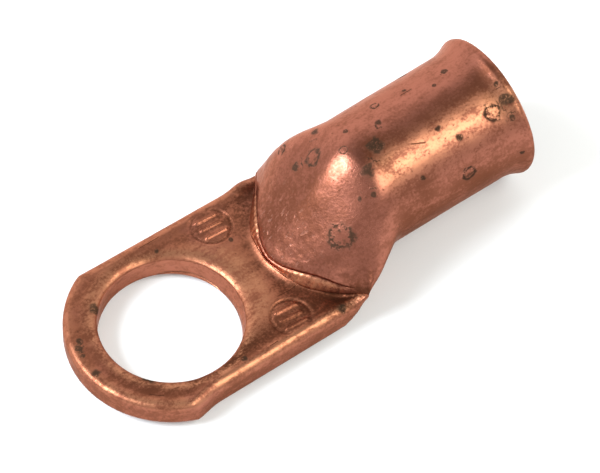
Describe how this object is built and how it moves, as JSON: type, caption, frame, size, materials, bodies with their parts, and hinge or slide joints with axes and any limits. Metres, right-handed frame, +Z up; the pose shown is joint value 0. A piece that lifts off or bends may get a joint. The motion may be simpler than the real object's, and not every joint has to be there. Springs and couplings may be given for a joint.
{
  "type": "copper cable lug",
  "caption": "One-piece copper tube lug: round flared end takes a cable, flat eyelet end bolts to a stud.",
  "frame": {"origin": "axis of the stud hole, on the underside of the palm", "axes": "+X along the tube to its open mouth, +Z up through the palm, along the stud hole's axis"},
  "size_m": [0.0462, 0.0184, 0.0139],
  "materials": {
    "copper": "satin, lightly tarnished bare copper"
  },
  "bodies": {
    "root": {"cable_lug": "copper"}
  },
  "joints": []
}
